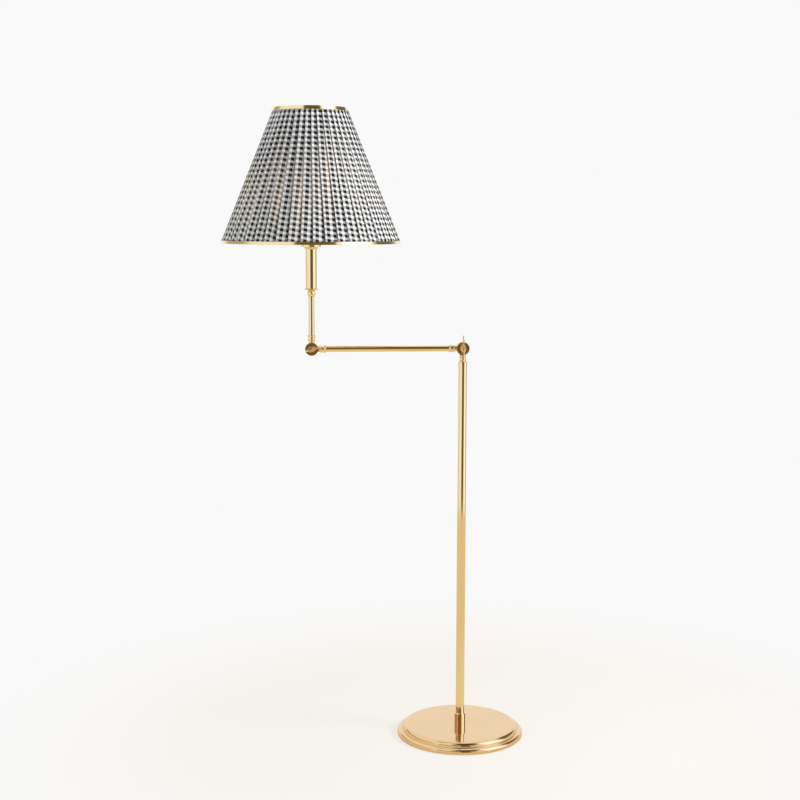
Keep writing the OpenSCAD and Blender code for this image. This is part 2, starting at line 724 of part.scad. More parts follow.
// Fitter: the ring on the lampholder's flange and the spokes out to the bottom ring
module shade_fitter() color("#d9d2c0") at_head() difference() {
    union() {
        translate([0, 0, flange_top]) cylinder(d = fitter_d, h = fitter_t);
        for (i = [0 : spokes - 1]) rotate([0, 0, i * 360 / spokes])
            translate([0, 0, spoke_z])
                bar_y(spoke_d, fitter_d / 2 - 2, crest(spoke_z) - ring_in - wire_d / 2 - SKIN_GAP);
    }
    translate([0, 0, flange_top - OVER]) cylinder(d = holder_d + 2 * THREAD_FIT, h = fitter_t + 2 * OVER);
}

// ---- Thumb keys ----

// A key on its screw along Y, with its long wing along +Z: collar, lens-shaped hub and flat blade
module thumb_key() color(BRONZE) {
    hub_y = key_seat - key_collar_t;
    lens_r = (hub_l * hub_l + hub_w * hub_w) / (4 * hub_w);
    bar_y(screw_d, key_seat - OVER, screw_end);
    bar_y(key_collar_d, hub_y, key_seat);
    translate([0, hub_y + OVER, 0]) rotate([90, 0, 0]) linear_extrude(hub_h + OVER) intersection() {
        translate([lens_r - hub_w / 2, 0]) circle(r = lens_r);
        translate([hub_w / 2 - lens_r, 0]) circle(r = lens_r);
    }
    translate([-key_t / 2, 0, 0]) rotate([90, 0, 90]) linear_extrude(key_t) {
        translate([hub_y - long_round, long_reach - long_round]) circle(r = long_round);
        translate([hub_y - short_round, short_round - short_reach]) circle(r = short_round);
        polygon([
            [hub_y, long_reach - long_round], [hub_y - 2 * long_round, long_reach - long_round],
            [hub_y - 2 * short_round, short_round - short_reach], [hub_y, short_round - short_reach]
        ]);
    }
}
module post_key() at_post() rotate([0, post_key_angle, 0]) thumb_key();
module arm_key() at_head() rotate([0, arm_key_angle, 0]) thumb_key();

base_cover();
base_weight();
base_felt();
base_nipple();
base_washer();
base_nut();
cord_grommet();
stem_collar();
post_tube();
post_cap();
post_flex();
post_knuckle();
swivel_washer();
swivel_nut();
post_friction_washer();
post_key();
arm_knuckle_inner();
arm_ferrule_inner();
arm_tube();
arm_flex();
arm_ferrule_outer();
arm_knuckle_outer();
arm_friction_washer();
arm_key();
upright_knuckle();
upright_ferrule();
upright_tube();
upright_flex();
ball_coupling();
riser_nipple();
drip_cup();
candle_tube();
shade_gallery();
lampholder();
shade_ring_nut();
bulb_cap();
bulb_glass();
shade_fitter();
frame_bottom_ring();
frame_top_ring();
frame_ribs();
shade_lining();
shade_cover();
bottom_trim();
top_trim();
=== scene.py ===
# Brass bridge floor lamp with a pleated gingham shade, dressed piece by piece as it is put
# together. Sizes in the profiles are millimetres in the CAD model's frame, and piece() turns them
# into metres.
import json

import bmesh
import bpy
import numpy as np
from mathutils import Matrix, Vector


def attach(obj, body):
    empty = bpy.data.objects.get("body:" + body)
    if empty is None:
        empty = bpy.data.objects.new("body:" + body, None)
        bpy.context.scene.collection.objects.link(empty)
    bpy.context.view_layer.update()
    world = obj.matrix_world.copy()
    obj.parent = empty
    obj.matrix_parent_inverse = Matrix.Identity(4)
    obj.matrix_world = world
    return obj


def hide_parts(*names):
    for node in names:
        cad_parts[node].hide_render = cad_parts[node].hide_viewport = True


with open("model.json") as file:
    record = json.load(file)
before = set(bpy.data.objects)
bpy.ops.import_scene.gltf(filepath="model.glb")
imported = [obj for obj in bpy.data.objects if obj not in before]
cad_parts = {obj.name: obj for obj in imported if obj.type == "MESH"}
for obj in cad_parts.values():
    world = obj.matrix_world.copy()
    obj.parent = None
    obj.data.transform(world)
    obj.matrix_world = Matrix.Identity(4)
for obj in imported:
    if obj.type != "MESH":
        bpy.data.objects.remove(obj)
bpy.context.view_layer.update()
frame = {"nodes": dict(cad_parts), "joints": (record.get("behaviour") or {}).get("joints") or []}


# ---- Felt pad ----
# A disc of pressed wool felt, 2 mm thick, glued under the cast weight so that the base can't
# mark the floor. Only its edge shows, in the shadow under the cover.
class Value:
    """One output socket of a node. Sums, differences, products, quotients, powers, remainders and
    comparisons of values and numbers add Math nodes."""

    def __init__(self, finish, socket):
        self.finish, self.socket = finish, socket

    def maths(self, operation, *terms):
        return self.finish.node("ShaderNodeMath", {"operation": operation}, dict(enumerate(terms)))

    def __add__(self, other):
        return self.maths("ADD", self, other)

    def __radd__(self, other):
        return self.maths("ADD", other, self)

    def __sub__(self, other):
        return self.maths("SUBTRACT", self, other)

    def __rsub__(self, other):
        return self.maths("SUBTRACT", other, self)

    def __mul__(self, other):
        return self.maths("MULTIPLY", self, other)

    def __rmul__(self, other):
        return self.maths("MULTIPLY", other, self)

    def __truediv__(self, other):
        return self.maths("DIVIDE", self, other)

    def __rtruediv__(self, other):
        return self.maths("DIVIDE", other, self)

    def __pow__(self, other):
        return self.maths("POWER", self, other)

    def __rpow__(self, other):
        return self.maths("POWER", other, self)

    def __mod__(self, other):
        return self.maths("FLOORED_MODULO", self, other)

    def __rmod__(self, other):
        return self.maths("FLOORED_MODULO", other, self)

    def sine(self):
        return self.maths("SINE", self)

    def absolute(self):
        return self.maths("ABSOLUTE", self)


class Finish:
    """The nodes of one material, or of the studio's world."""

    def __init__(self, owner):
        self.owner = owner
        owner.use_nodes = True
        owner.node_tree.nodes.clear()

    def node(self, kind, settings=None, sockets=None, out=0):
        """Any node: its settings are set first, then its sockets get their values or links."""
        made = self.owner.node_tree.nodes.new(kind)
        for name, setting in (settings or {}).items():
            setattr(made, name, setting)
        for name, value in (sockets or {}).items():
            if isinstance(value, Value):
                self.owner.node_tree.links.new(value.socket, made.inputs[name])
            else:
                made.inputs[name].default_value = value
        return Value(self, made.outputs[out]) if made.outputs else made

    def place(self, centre=(0, 0, 0), turn=(0, 0, 0), grain=(1, 1, 1)):
        """Object coordinates in metres from a centre, turned, and divided by the grain's size."""
        here = self.node("ShaderNodeTexCoord", out="Object")
        return self.node("ShaderNodeMapping", {"vector_type": "TEXTURE"},
                         {"Vector": here, "Location": centre, "Rotation": turn, "Scale": grain})

    def noise(self, size, where=None, detail=2.0, rough=0.5):
        """Clouds about 0.5, whose blobs are about size metres across."""
        return self.node("ShaderNodeTexNoise", {}, {
            "Vector": where or self.place(), "Scale": 1 / size, "Detail": detail,
            "Roughness": rough})

    def steps(self, value, low, high, start=0.0, end=1.0):
        """A smooth ramp from start to end, as value goes from low to high."""
        return self.node("ShaderNodeMapRange", {"interpolation_type": "SMOOTHSTEP"},
                         {0: value, 1: low, 2: high, 3: start, 4: end})

    def between(self, share, first, second):
        """A colour that goes from the first to the second as share goes from 0 to 1."""
        return self.node("ShaderNodeMix", {"data_type": "RGBA"},
                         {0: share, 6: first, 7: second}, 2)

    def surface(self, height=None, depth=0.0, **sockets):
        """The shader that ends a material, with a bump depth metres deep where height is given."""
        sockets = {name.replace("_", " "): value for name, value in sockets.items()}
        if height is not None:
            sockets["Normal"] = self.node(
                "ShaderNodeBump", {}, {"Height": height, "Distance": depth})
        shader = self.node("ShaderNodeBsdfPrincipled", {}, sockets)
        self.node("ShaderNodeOutputMaterial", {}, {"Surface": shader})
        return self


def finish(name):
    """A new, empty material."""
    return Finish(bpy.data.materials.new(name))


def arc(across, up, radius, start, end, count=9):
    """Points of a circle's arc from one angle to another, in degrees from straight out."""
    angle = np.radians(np.linspace(start, end, count))
    return np.stack([across + radius * np.cos(angle), up + radius * np.sin(angle)], 1)


def eased(*parts, size=0.3, closed=False):
    """A profile of points and arcs with its sharp corners rounded. Between the points that lie
    size away from a corner on its two sides stands the curve (1-t)^2 A + 2t(1-t) P + t^2 B, and a
    further point on each side keeps the flat beside it flat."""
    p = np.concatenate([np.atleast_2d(np.asarray(part, float)) for part in parts])
    p = p[np.r_[True, np.linalg.norm(np.diff(p, axis=0), axis=1) > 1e-4]]
    back, ahead = np.roll(p, 1, 0) - p, np.roll(p, -1, 0) - p
    long_back, long_ahead = np.linalg.norm(back, axis=1), np.linalg.norm(ahead, axis=1)
    if not closed:
        long_back[0] = long_ahead[-1] = 1.0
    turning = -(back * ahead).sum(1) / (long_back * long_ahead)
    corner = turning < np.cos(np.radians(20))
    if not closed:
        corner[[0, -1]] = False
    near = np.where(corner, np.minimum(size, 0.4 * np.minimum(long_back, long_ahead)), 0)[:, None]
    a, b = p + near * back / long_back[:, None], p + near * ahead / long_ahead[:, None]
    hold_a = a + 0.1 * near * back / long_back[:, None]
    hold_b = b + 0.1 * near * ahead / long_ahead[:, None]
    t = np.linspace(0, 1, 5)[None, :, None]
    curve = (1 - t) ** 2 * a[:, None] + 2 * t * (1 - t) * p[:, None] + t**2 * b[:, None]
    points = np.concatenate([hold_a[:, None], curve, hold_b[:, None]], 1).reshape(-1, 2)
    apart = np.linalg.norm(np.diff(points, axis=0), axis=1) > 1e-4
    return points[np.r_[True, apart]]


def turned(profile, centre=(0, 0, 0), along=(0, 0, 1), closed=False, around=96):
    """A profile of (radius, height) carried round an axis. For equal steps of the angle a, a point
    stands at centre + radius (cos a * across + sin a * up) + height * along. A closed profile is a
    wall's whole section, and an open one starts and ends on the axis."""
    along = np.asarray(along, float) / np.linalg.norm(along)
    across = np.cross(along, (0, 1, 0) if abs(along[1]) < 0.9 else (0, 0, 1))
    across /= np.linalg.norm(across)
    angle = 2 * np.pi * np.arange(around) / around
    ring = np.cos(angle)[:, None] * across + np.sin(angle)[:, None] * np.cross(along, across)
    grid = np.asarray(centre, float) + profile[:, :1, None] * ring + profile[:, 1:, None] * along
    return grid, closed, True


def corners_of(grid):
    """The four corners of every face of a grid."""
    return grid[:-1, :-1], grid[:-1, 1:], grid[1:, 1:], grid[1:, :-1]


def piece(name, *grids, marks=None):
    """One smooth mesh from grids of points. A grid is its points, whether its last row joins its
    first, and whether its last column does. Four neighbours make a face, points that coincide are
    merged, and the faces are turned outwards. marks holds each corner's place on the cloth."""
    points, faces, count = [], [], 0
    for grid, rows_close, columns_close in grids:
        number = count + np.arange(grid[..., 0].size).reshape(grid.shape[:2])
        number = np.vstack([number, number[:1]]) if rows_close else number
        number = np.hstack([number, number[:, :1]]) if columns_close else number
        faces.append(np.stack(corners_of(number), -1))
        points.append(grid.reshape(-1, 3) / 1000)
        count += grid[..., 0].size
    mesh = bpy.data.meshes.new(name)
    mesh.from_pydata(np.concatenate(points).tolist(), [],
                     np.concatenate([face.reshape(-1, 4) for face in faces]).tolist())
    if marks is not None:
        marks = np.stack(corners_of(marks), 2)
        mesh.uv_layers.new(name="cloth").uv.foreach_set("vector", marks.ravel().astype(np.float32))
    work = bmesh.new()
    work.from_mesh(mesh)
    bmesh.ops.remove_doubles(work, verts=work.verts, dist=1e-6)
    bmesh.ops.recalc_face_normals(work, faces=work.faces)
    work.to_mesh(mesh)
    work.free()
    mesh.shade_smooth()
    made = bpy.data.objects.new(name, mesh)
    bpy.context.scene.collection.objects.link(made)
    return made


def fitted(made, body, slot, look, *nodes):
    """Fastens a piece to a body in the place of its CAD nodes, and gives it its finish."""
    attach(made, body)
    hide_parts(*nodes)
    made.data.materials.append(look.owner)
    return made


wool = finish("pressed_wool_felt")
fibres = wool.noise(0.0012, detail=4, rough=0.7)
wool.surface(
    fibres, 0.0004, Roughness=0.95, Sheen_Weight=0.3,
    Base_Color=wool.between(fibres, (0.045, 0.06, 0.048, 1), (0.12, 0.15, 0.12, 1)))
felt_pad = piece("felt_pad", turned(
    eased((0, 0), (137, 0), (137, 2), (0, 2), size=0.5), around=180))
fitted(felt_pad, "stand", "felt", wool, "base_felt")


# ---- Cast weight and its fixing ----
# A sand-cast iron disc that keeps the lamp upright, with a threaded steel nipple through it. A
# washer and a nut in its recess clamp the weight, the cover and the collar together.
def coated(nodes, look):
    """Gives CAD nodes whose shape is right a finish."""
    for name in nodes:
        materials = frame["nodes"][name].data.materials
        materials.clear()
        materials.append(look.owner)


iron = finish("sand_cast_iron")
sand, rust = iron.noise(0.0018, detail=5, rough=0.7), iron.noise(0.03, detail=3)
iron.surface(
    sand, 0.0006, Metallic=0.6, Roughness=iron.steps(sand, 0.3, 0.7, 0.55, 0.8),
    Base_Color=iron.between(iron.steps(rust, 0.55, 0.75),
                            (0.09, 0.09, 0.095, 1), (0.13, 0.08, 0.055, 1)))
coated(["base_weight"], iron)

zinc = finish("zinc_plated_steel")
bloom = zinc.noise(0.004, detail=3)
zinc.surface(
    zinc.noise(0.0012, zinc.place(grain=(1, 1, 0.1))), 0.00005, Metallic=1.0,
    Roughness=zinc.steps(bloom, 0.3, 0.7, 0.28, 0.42),
    Base_Color=zinc.between(bloom, (0.56, 0.57, 0.60, 1), (0.70, 0.70, 0.68, 1)))
coated(["base_nipple", "base_washer", "base_nut", "swivel_nut", "riser_nipple"], zinc)


# ---- Spun base cover ----
# A round cover spun from 1.5 mm brass sheet over the weight: a flat top, a round shoulder, a
# small step and a rolled rim. It is polished and lacquered, with a hole in the back for the cord.
def brass(name, tone, centre=(0, 0, 0), turn=(0, 0, 0), rough=0.07):
    """Lacquered brass. The tone drifts with slow clouds, the roughness is rough plus faint
    smudges, and the bump is the turner's lines: noise of the distance from the axis, which is the
    root of x squared plus y squared, and the place along it."""
    look = finish(name)
    here = look.place(centre, turn)
    cloud, smudge = look.noise(0.11, here, 3), look.noise(0.028, here, 5, 0.6)
    part = look.node("ShaderNodeSeparateXYZ", {}, {0: here}, "X")
    x, (y, z) = part, (Value(look, part.socket.node.outputs[name]) for name in "YZ")
    away = (x * x + y * y) ** 0.5
    lines = look.noise(0.0007, look.node("ShaderNodeCombineXYZ", {}, {"X": away, "Z": z}), 2)
    light = tuple(min(1.0, 1.035 * c) for c in tone) + (1,)
    deep = tuple(0.955 * c * s for c, s in zip(tone, (1.0, 0.985, 0.95))) + (1,)
    return look.surface(
        lines, 0.000004, Metallic=1.0, Coat_Weight=0.1, Coat_Roughness=0.04,
        Base_Color=look.between(cloud, deep, light),
        Roughness=rough + look.steps(smudge, 0.35, 0.85, 0.0, 0.07))


plate_brass = brass("polished_brass_plate", (0.82, 0.585, 0.335))
sheet, top, rim, step = 1.5, 23.5, 140.0, 129.0
shoulder, rim_top, rim_round, lift = 10.25, 13.0, 8, 1
nipple_hole, cord_hole = 5.75, 3.65
inlet, backward = (0, 0, 5.9), (0, 1, 0)
outside = np.concatenate([
    [(nipple_hole, top), (60, top), (step - shoulder - 2, top)],
    arc(step - shoulder, top - shoulder, shoulder, 90, 1.5, 17),
    [(step + 0.15, rim_top + 0.15), (step + 0.5, rim_top)],
    arc(rim - rim_round, rim_top - rim_round, rim_round, 90, 0, 17), [(rim, 3), (rim, lift)]])
inside = np.concatenate([
    [(rim - sheet, lift), (rim - sheet, 4)],
    arc(rim - rim_round, rim_top - rim_round, rim_round - sheet, 0, 90, 9),
    [(step - sheet, rim_top - sheet), (step - sheet, rim_top)],
    arc(step - shoulder, top - shoulder, shoulder - sheet, 0, 90, 9), [(nipple_hole, top - sheet)]])
base_cover = piece("spun_base_cover", turned(eased(outside, inside, size=0.35, closed=True),
                                             closed=True, around=240))
drill = piece("drill", turned(eased(
    (0, 118), (cord_hole, 118), (cord_hole, 150), (0, 150), size=0.01), inlet, backward, around=48))
hole = base_cover.modifiers.new("cord_hole", "BOOLEAN")
hole.object, hole.solver = drill, "EXACT"
bpy.context.view_layer.update()
drilled = bpy.data.meshes.new_from_object(
    base_cover.evaluated_get(bpy.context.evaluated_depsgraph_get()))
base_cover.modifiers.clear()
base_cover.data = drilled
bpy.data.objects.remove(drill)
fitted(base_cover, "stand", "polished_brass", plate_brass, "base_cover")


# ---- Cord grommet ----
# A moulded rubber sleeve pressed into the hole at the back of the cover, where it keeps the cord
# off the sharp edge of the metal.
rubber = finish("black_rubber")
mould = rubber.noise(0.0015, detail=4)
rubber.surface(mould, 0.00008, Roughness=rubber.steps(mould, 0.2, 0.8, 0.5, 0.7),
               Base_Color=rubber.between(mould, (0.018, 0.018, 0.018, 1), (0.035, 0.034, 0.033, 1)))
cord_bore, sleeve, inner_end, outer_end = 2.8, 3.6, 123.7, 139.7
grommet = piece("cord_grommet_sleeve", turned(eased(
    (cord_bore, inner_end), (sleeve, inner_end), (sleeve, outer_end), (cord_bore, outer_end),
    size=0.3, closed=True), inlet, backward, True, 48))
fitted(grommet, "stand", "black_rubber", rubber, "cord_grommet")


# ---- Stem collar ----
# A turned brass socket that screws on the nipple over the cover and takes the foot of the post,
# polished like the post itself.
tube_brass = brass("polished_brass_tube", (0.93, 0.75, 0.47))
collar, collar_top, socket, thread_bore, post_foot = 12.25, 48, 9.55, 4.8, 31.5
stem_collar = piece("turned_stem_collar", turned(eased(
    (thread_bore, top), (collar, top), (collar, collar_top - 1), (collar - 1, collar_top),
    (socket, collar_top), (socket, post_foot), (thread_bore, post_foot),
    closed=True), closed=True))
fitted(stem_collar, "stand", "polished_brass", tube_brass, "stem_collar")


# ---- Post ----
# A 3/4 inch drawn brass tube that stands in the collar and carries the post cap, with the lamp's
# sheathed flex inside it.
def pipe(name, outer, bore, start, end, centre=(0, 0, 0), along=(0, 0, 1), around=96):
    """A drawn tube with both ends deburred, between two distances along its axis."""
    return piece(name, turned(eased(
        (bore, start), (outer, start), (outer, end), (bore, end), size=0.2, closed=True),
        centre, along, True, around))


post_radius, post_bore, post_top = 9.5, 8.3, 830.9
fitted(pipe("drawn_post_tube", post_radius, post_bore, post_foot, post_top),
       "stand", "polished_brass", tube_brass, "post_tube")

sheath = finish("flex_sheath")
ribbing = sheath.noise(0.0025, detail=3)
sheath.surface(ribbing, 0.0001, Roughness=sheath.steps(ribbing, 0.2, 0.8, 0.45, 0.6),
               Base_Color=sheath.between(ribbing, (0.74, 0.70, 0.59, 1), (0.83, 0.80, 0.71, 1)))
coated(["post_flex", "arm_flex", "upright_flex"], sheath)


# ---- Post cap ----
# Turned from brass bar: a plug in the post, a skirt, a taper, a bead and a neck. The swivel's
# spigot runs in its bore, and the nut below it hides in the hollow.
def bead(outer, width, height, sleeve):
    """A half-round bead of a turned piece: the arc of a circle as wide as the bead that stands
    above the sleeve's radius."""
    radius = width / 2
    reach = np.degrees(np.arccos((sleeve - (outer / 2 - radius)) / radius))
    return arc(outer / 2 - radius, height, radius, -reach, reach, 13)


upper, lower = (1000 * np.array(next(j["pos_m"] for j in frame["joints"] if j["name"] == name))
                for name in ("arm_tilt", "head_tilt"))
cap_plug, skirt, throat, spigot_bore, nut_room = 8.25, 10.2, 6.5, 4.05, 6.3
plug_foot, tube_end, skirt_top, shelf, cap_top = -51.1, -39.1, -29.6, -33.3, -20.3
post_cap = piece("turned_post_cap", turned(eased(
    (cap_plug, plug_foot), (cap_plug, tube_end), (skirt, tube_end), (skirt, skirt_top),
    (throat, -26.6), bead(15.8, 3, -25.1, throat), (throat, cap_top), (spigot_bore, cap_top),
    (spigot_bore, shelf), (nut_room, shelf), (nut_room, plug_foot),
    closed=True), upper, closed=True))
fitted(post_cap, "stand", "polished_brass", tube_brass, "post_cap")


# ---- Upper knuckle and its swivel ----
# Two turned half discs face each other on a pivot, with a fibre washer between them. The rear one
# stands on the post by a spigot, and turns there. They are darker than the tubes from handling.
def knuckle(name, centre, side, along, neck_end=18, plug=4.5, plug_end=23):
    """One half of a knuckle. Its disc is turned about the pivot, with a rim whose radius is
    14.5 mm less a small part of the depth squared. Its neck is a circle carried along its own
    axis: nearer the pivot than the swing radius, what would stand on the other half's side is
    pushed back to its own face."""
    face, swing, stem, flex_bore, screw_hole = 0.55, 15, 6.5, 2.3, 2.55
    deep = np.linspace(face, 7.3, 9)
    rim_arc = np.concatenate([np.stack([14.5 - 0.005 * deep**2, deep], 1), [(14.1, 7.9)]])
    groove = arc(8.6, 8.35, 0.6, -25, -155, 7)
    if side > 0:
        disc = eased((0, 5.3), (screw_hole, 5.3), (screw_hole, -4.45), (6, -4.45), (6, face),
                     rim_arc, groove, (0, 8), size=0.6)
    else:
        disc = eased((screw_hole, 8), (screw_hole, 4.75), (6.05, 4.75), (6.05, face), rim_arc,
                     size=0.5, closed=True)
    along = np.asarray(along, float)
    neck = eased((0, 8), (stem, 8), (stem, swing), (stem, swing + 0.02), (6.3, 16.4),
                 (stem, neck_end), (plug, neck_end), (plug, plug_end), (flex_bore, plug_end),
                 (flex_bore, 16), (0, 16), size=0.25)
    angle = 2 * np.pi * np.arange(64) / 64
    beside, own = neck[:, :1] * np.cos(angle), neck[:, :1] * np.sin(angle)
    first = np.argmax(neck[:, 1] > swing - 0.001)
    own[:first + 1] = np.maximum(own[:first + 1], face)
    pivot = np.array((0, side, 0))
    grid = (np.asarray(centre) + beside[..., None] * np.cross(pivot, along)
            + own[..., None] * pivot + neck[:, 1, None, None] * along)
    return piece(name, turned(disc, centre, pivot, side < 0), (grid, False, True))


dark_brass = brass("handled_brass", (0.91, 0.63, 0.34), upper / 1000, (np.pi / 2, 0, 0), 0.15)
post_knuckle = knuckle("post_knuckle_half", upper, 1, (0, 0, -1), 19.3, 4, 39.3)
fitted(post_knuckle, "swivel", "aged_brass", dark_brass, "post_knuckle")

fibre = finish("vulcanised_fibre")
grain = fibre.noise(0.0015, detail=4)
fibre.surface(grain, 0.00005, Roughness=0.7,
              Base_Color=fibre.between(grain, (0.30, 0.22, 0.15, 1), (0.42, 0.33, 0.24, 1)))
coated(["swivel_washer", "post_friction_washer", "arm_friction_washer"], fibre)


# ---- Thumb keys ----
# Cast and filed brass keys on 5 mm clamping screws: a collar, a dished hub shaped like a lens, and
# a flat wing set edge-on to the front, longer on one side.
def thumb_key(name, centre, angle):
    """A key on the pivot. The screw and collar are turned about it. The hub and the wing are
    plates: an outline carried through levels, each drawn in by its inset and set at its own
    depth. The hub's outline is the lens between two circles."""
    wing = np.array((np.sin(np.radians(angle)), 0, np.cos(np.radians(angle))))
    front, beside = np.array((0, -1.0, 0)), np.cross((0, -1.0, 0), wing)

    def plate(outline, levels, a, b, up):
        """Rings of the outline, moved in by each level's inset along its normals, or gathered in
        its middle for the first and last."""
        tangent = np.roll(outline, -1, 0) - np.roll(outline, 1, 0)
        tangent /= np.linalg.norm(tangent, axis=1)[:, None]
        inward = np.stack([-tangent[:, 1], tangent[:, 0]], 1)
        levels, middle = np.asarray(levels, float), (outline.max(0) + outline.min(0)) / 2
        ring = outline + levels[:, :1, None] * inward
        ring[[0, -1]] = middle
        grid = centre + ring[..., :1] * a + ring[..., 1:] * b + levels[:, 1, None, None] * up
        return grid, False, True

    shank = turned(eased((0, -5), (2.5, -5), (2.5, 8.3), (6, 8.3), (6, 10.8), (0, 10.8), size=0.4),
                   centre, front, around=48)
    hub_curve, hub_half, reach = 12.77, 5.5, 55.3
    swing = np.radians(np.linspace(-reach, reach, 25))
    side = np.stack([hub_curve * np.cos(swing) - (hub_curve - hub_half),
                     hub_curve * np.sin(swing)], 1)
    hub = plate(np.concatenate([side[:-1], -side[:-1]]),
                [(0, 10), (0, 10), (0, 15.3), (0.15, 15.65), (0.5, 15.8), (0.9, 15.75),
                 (1.6, 15.3), (3.2, 14.9), (0, 14.8)], beside, wing, front)
    blade = plate(np.concatenate([arc(20.3, 21, 9.5, 0, 180, 25),
                                  arc(17.3, -7.5, 6.5, 180, 360, 21)]),
                  [(0, -1), (3.2, -0.9), (1.6, -1.15), (0.5, -1.2), (0.1, -0.9), (0, -0.4),
                   (0, 0.4), (0.1, 0.9), (0.5, 1.2), (1.6, 1.15), (3.2, 0.9), (0, 1)],
                  front, wing, beside)
    return piece(name, shank, hub, blade)


for name, centre, angle, body in (("upper_thumb_key", upper, -4, "post_key"),
                                  ("lower_thumb_key", lower, 73, "arm_key")):
    filed = brass(f"filed_brass_{body}", (0.88, 0.70, 0.43), centre / 1000, (np.pi / 2, 0, 0), 0.13)
    fitted(thumb_key(name, centre, angle), body, "aged_brass", filed, body)


# ---- Arm ----
# A 1/2 inch brass tube between two turned ferrules, each pinned to a knuckle half. It carries the
# head 329 mm out from the post, and its flex crosses the joints inside.
def ferrule(name, centre, along):
    """A turned sleeve with a small and a large bead, that seats the neck's plug and the tube."""
    body, tube_seat, plug_seat, start, end = 7.7, 6.55, 4.55, 18, 31
    return piece(name, turned(eased(
        (body, start), bead(16.8, 2.6, 19.9, body), (body, 21.6), bead(18, 4.4, 28, body),
        (body, end), (tube_seat, end), (tube_seat, tube_start), (plug_seat, tube_start),
        (plug_seat, start), size=0.25, closed=True), centre, along, True))


left, right, upward = (-1, 0, 0), (1, 0, 0), (0, 0, 1)
tube_radius, tube_bore, tube_start, arm_tube_end = 6.5, 5.3, 23, 306
arm_brass = brass("polished_brass_arm", (0.93, 0.75, 0.46), upper / 1000, (0, np.pi / 2, 0))
fitted(knuckle("arm_inner_knuckle_half", upper, -1, left), "arm", "aged_brass", dark_brass,
       "arm_knuckle_inner")
fitted(ferrule("arm_inner_ferrule", upper, left), "arm", "polished_brass", arm_brass,
       "arm_ferrule_inner")
fitted(pipe("drawn_arm_tube", tube_radius, tube_bore, tube_start, arm_tube_end, upper, left),
       "arm", "polished_brass", arm_brass, "arm_tube")
fitted(ferrule("arm_outer_ferrule", lower, right), "arm", "polished_brass", arm_brass,
       "arm_ferrule_outer")
outer_brass = brass("handled_brass_outer", (0.90, 0.64, 0.35), lower / 1000,
                    (np.pi / 2, 0, 0), 0.15)
fitted(knuckle("arm_outer_knuckle_half", lower, 1, right), "arm", "aged_brass", outer_brass,
       "arm_knuckle_outer")


# ---- Upright ----
# A short tube on the lower knuckle's front half. A ball coupling plugs into its top and takes the
# threaded riser on which everything above is clamped.
upright_brass = brass("polished_brass_upright", (0.93, 0.75, 0.47), lower / 1000)
fitted(knuckle("upright_knuckle_half", lower, -1, upward), "head", "aged_brass", outer_brass,
       "upright_knuckle")
fitted(ferrule("upright_ferrule_sleeve", lower, upward), "head", "polished_brass", upright_brass,
       "upright_ferrule")
upright_end, ball, half_flat = 113.6, 9.25, 7
fitted(pipe("drawn_upright_tube", tube_radius, tube_bore, tube_start, upright_end, lower),
       "head", "polished_brass", upright_brass, "upright_tube")
flat_angle = np.degrees(np.arcsin(half_flat / ball))
coupling = piece("turned_ball_coupling", turned(eased(
    (2.3, 103.6), (5.25, 103.6), (5.25, upright_end),
    arc(0, 120.6, ball, -flat_angle, flat_angle, 25), (thread_bore, 127.6), (thread_bore, 121.6),
    (2.3, 121.6), closed=True), lower, closed=True))
fitted(coupling, "head", "polished_brass", upright_brass, "ball_coupling")


# ---- Drip cup, candle tube and gallery ----
# A pressed drip cup, a 1 inch tube that stands on it like a candle, and a turned flare whose rim
# carries the lampholder and the shade.
candle, candle_foot, candle_top = 12.25, 130.8, 214.8
drip_cup = piece("pressed_drip_cup", turned(eased(
    (thread_bore, 127.6), (7.5, 127.6), (7.5, 129.6), (12.2, 129.6), (15.4, 128.0),
    (15.75, 128.2), (15.75, 129.1), (candle, candle_foot), (thread_bore, candle_foot),
    size=0.35, closed=True), lower, closed=True))
fitted(drip_cup, "head", "polished_brass", upright_brass, "drip_cup")
fitted(pipe("candle_sleeve", candle, candle - 1, candle_foot, candle_top, lower),
       "head", "polished_brass", upright_brass, "candle_tube")
flare, lip, holder_foot = 22.5, 224.4, 221.2
flare_start = 180 - np.degrees(np.arcsin((candle_top - 210) / 10))
gallery = piece("flared_gallery", turned(eased(
    (thread_bore, candle_top), arc(flare, 210, 10, flare_start, 92, 17), (flare, 220.2),
    (flare, lip), (21.6, lip), (21.6, holder_foot), (thread_bore, holder_foot),
    size=0.3, closed=True), lower, closed=True))
fitted(gallery, "head", "polished_brass", upright_brass, "shade_gallery")


# ---- Lampholder and ring nut ----
# A moulded white lampholder screwed on the riser. Its skirt is threaded, and a ribbed ring nut on
# the thread clamps the shade's fitter on the flange.
moulding = finish("white_moulding")
flow = moulding.noise(0.012, detail=3)
moulding.surface(flow, 0.00003, Coat_Weight=0.1,
                 Roughness=moulding.steps(flow, 0.3, 0.7, 0.26, 0.36),
                 Base_Color=moulding.between(flow, (0.80, 0.78, 0.72, 1), (0.87, 0.85, 0.80, 1)))
holder_skirt, holder_top, bulb_socket, socket_floor = 19, 271.2, 13.6, 241.2
thread_depth, thread_foot, thread_length = 0.45, 234.0, 34.5
thread = np.stack([holder_skirt - thread_depth * np.tile((0, 0, 1, 1), 12)[:-1],
                   thread_foot + np.linspace(0, thread_length, 47)], 1)
fitter_foot, fitter_top = 229.2, 232.2
holder = piece("threaded_lampholder", turned(eased(
    (thread_bore, holder_foot), (21.5, holder_foot), (21.5, fitter_foot),
    (holder_skirt, fitter_foot), thread, (holder_skirt, holder_top), (bulb_socket, holder_top),
    (bulb_socket, socket_floor), (thread_bore, socket_floor),
    size=0.3, closed=True), lower, closed=True))
fitted(holder, "head", "holder_white", moulding, "lampholder")
nut_bore, nut_radius, nut_top, nut_ribs = 19.05, 23.5, 238.2, 40
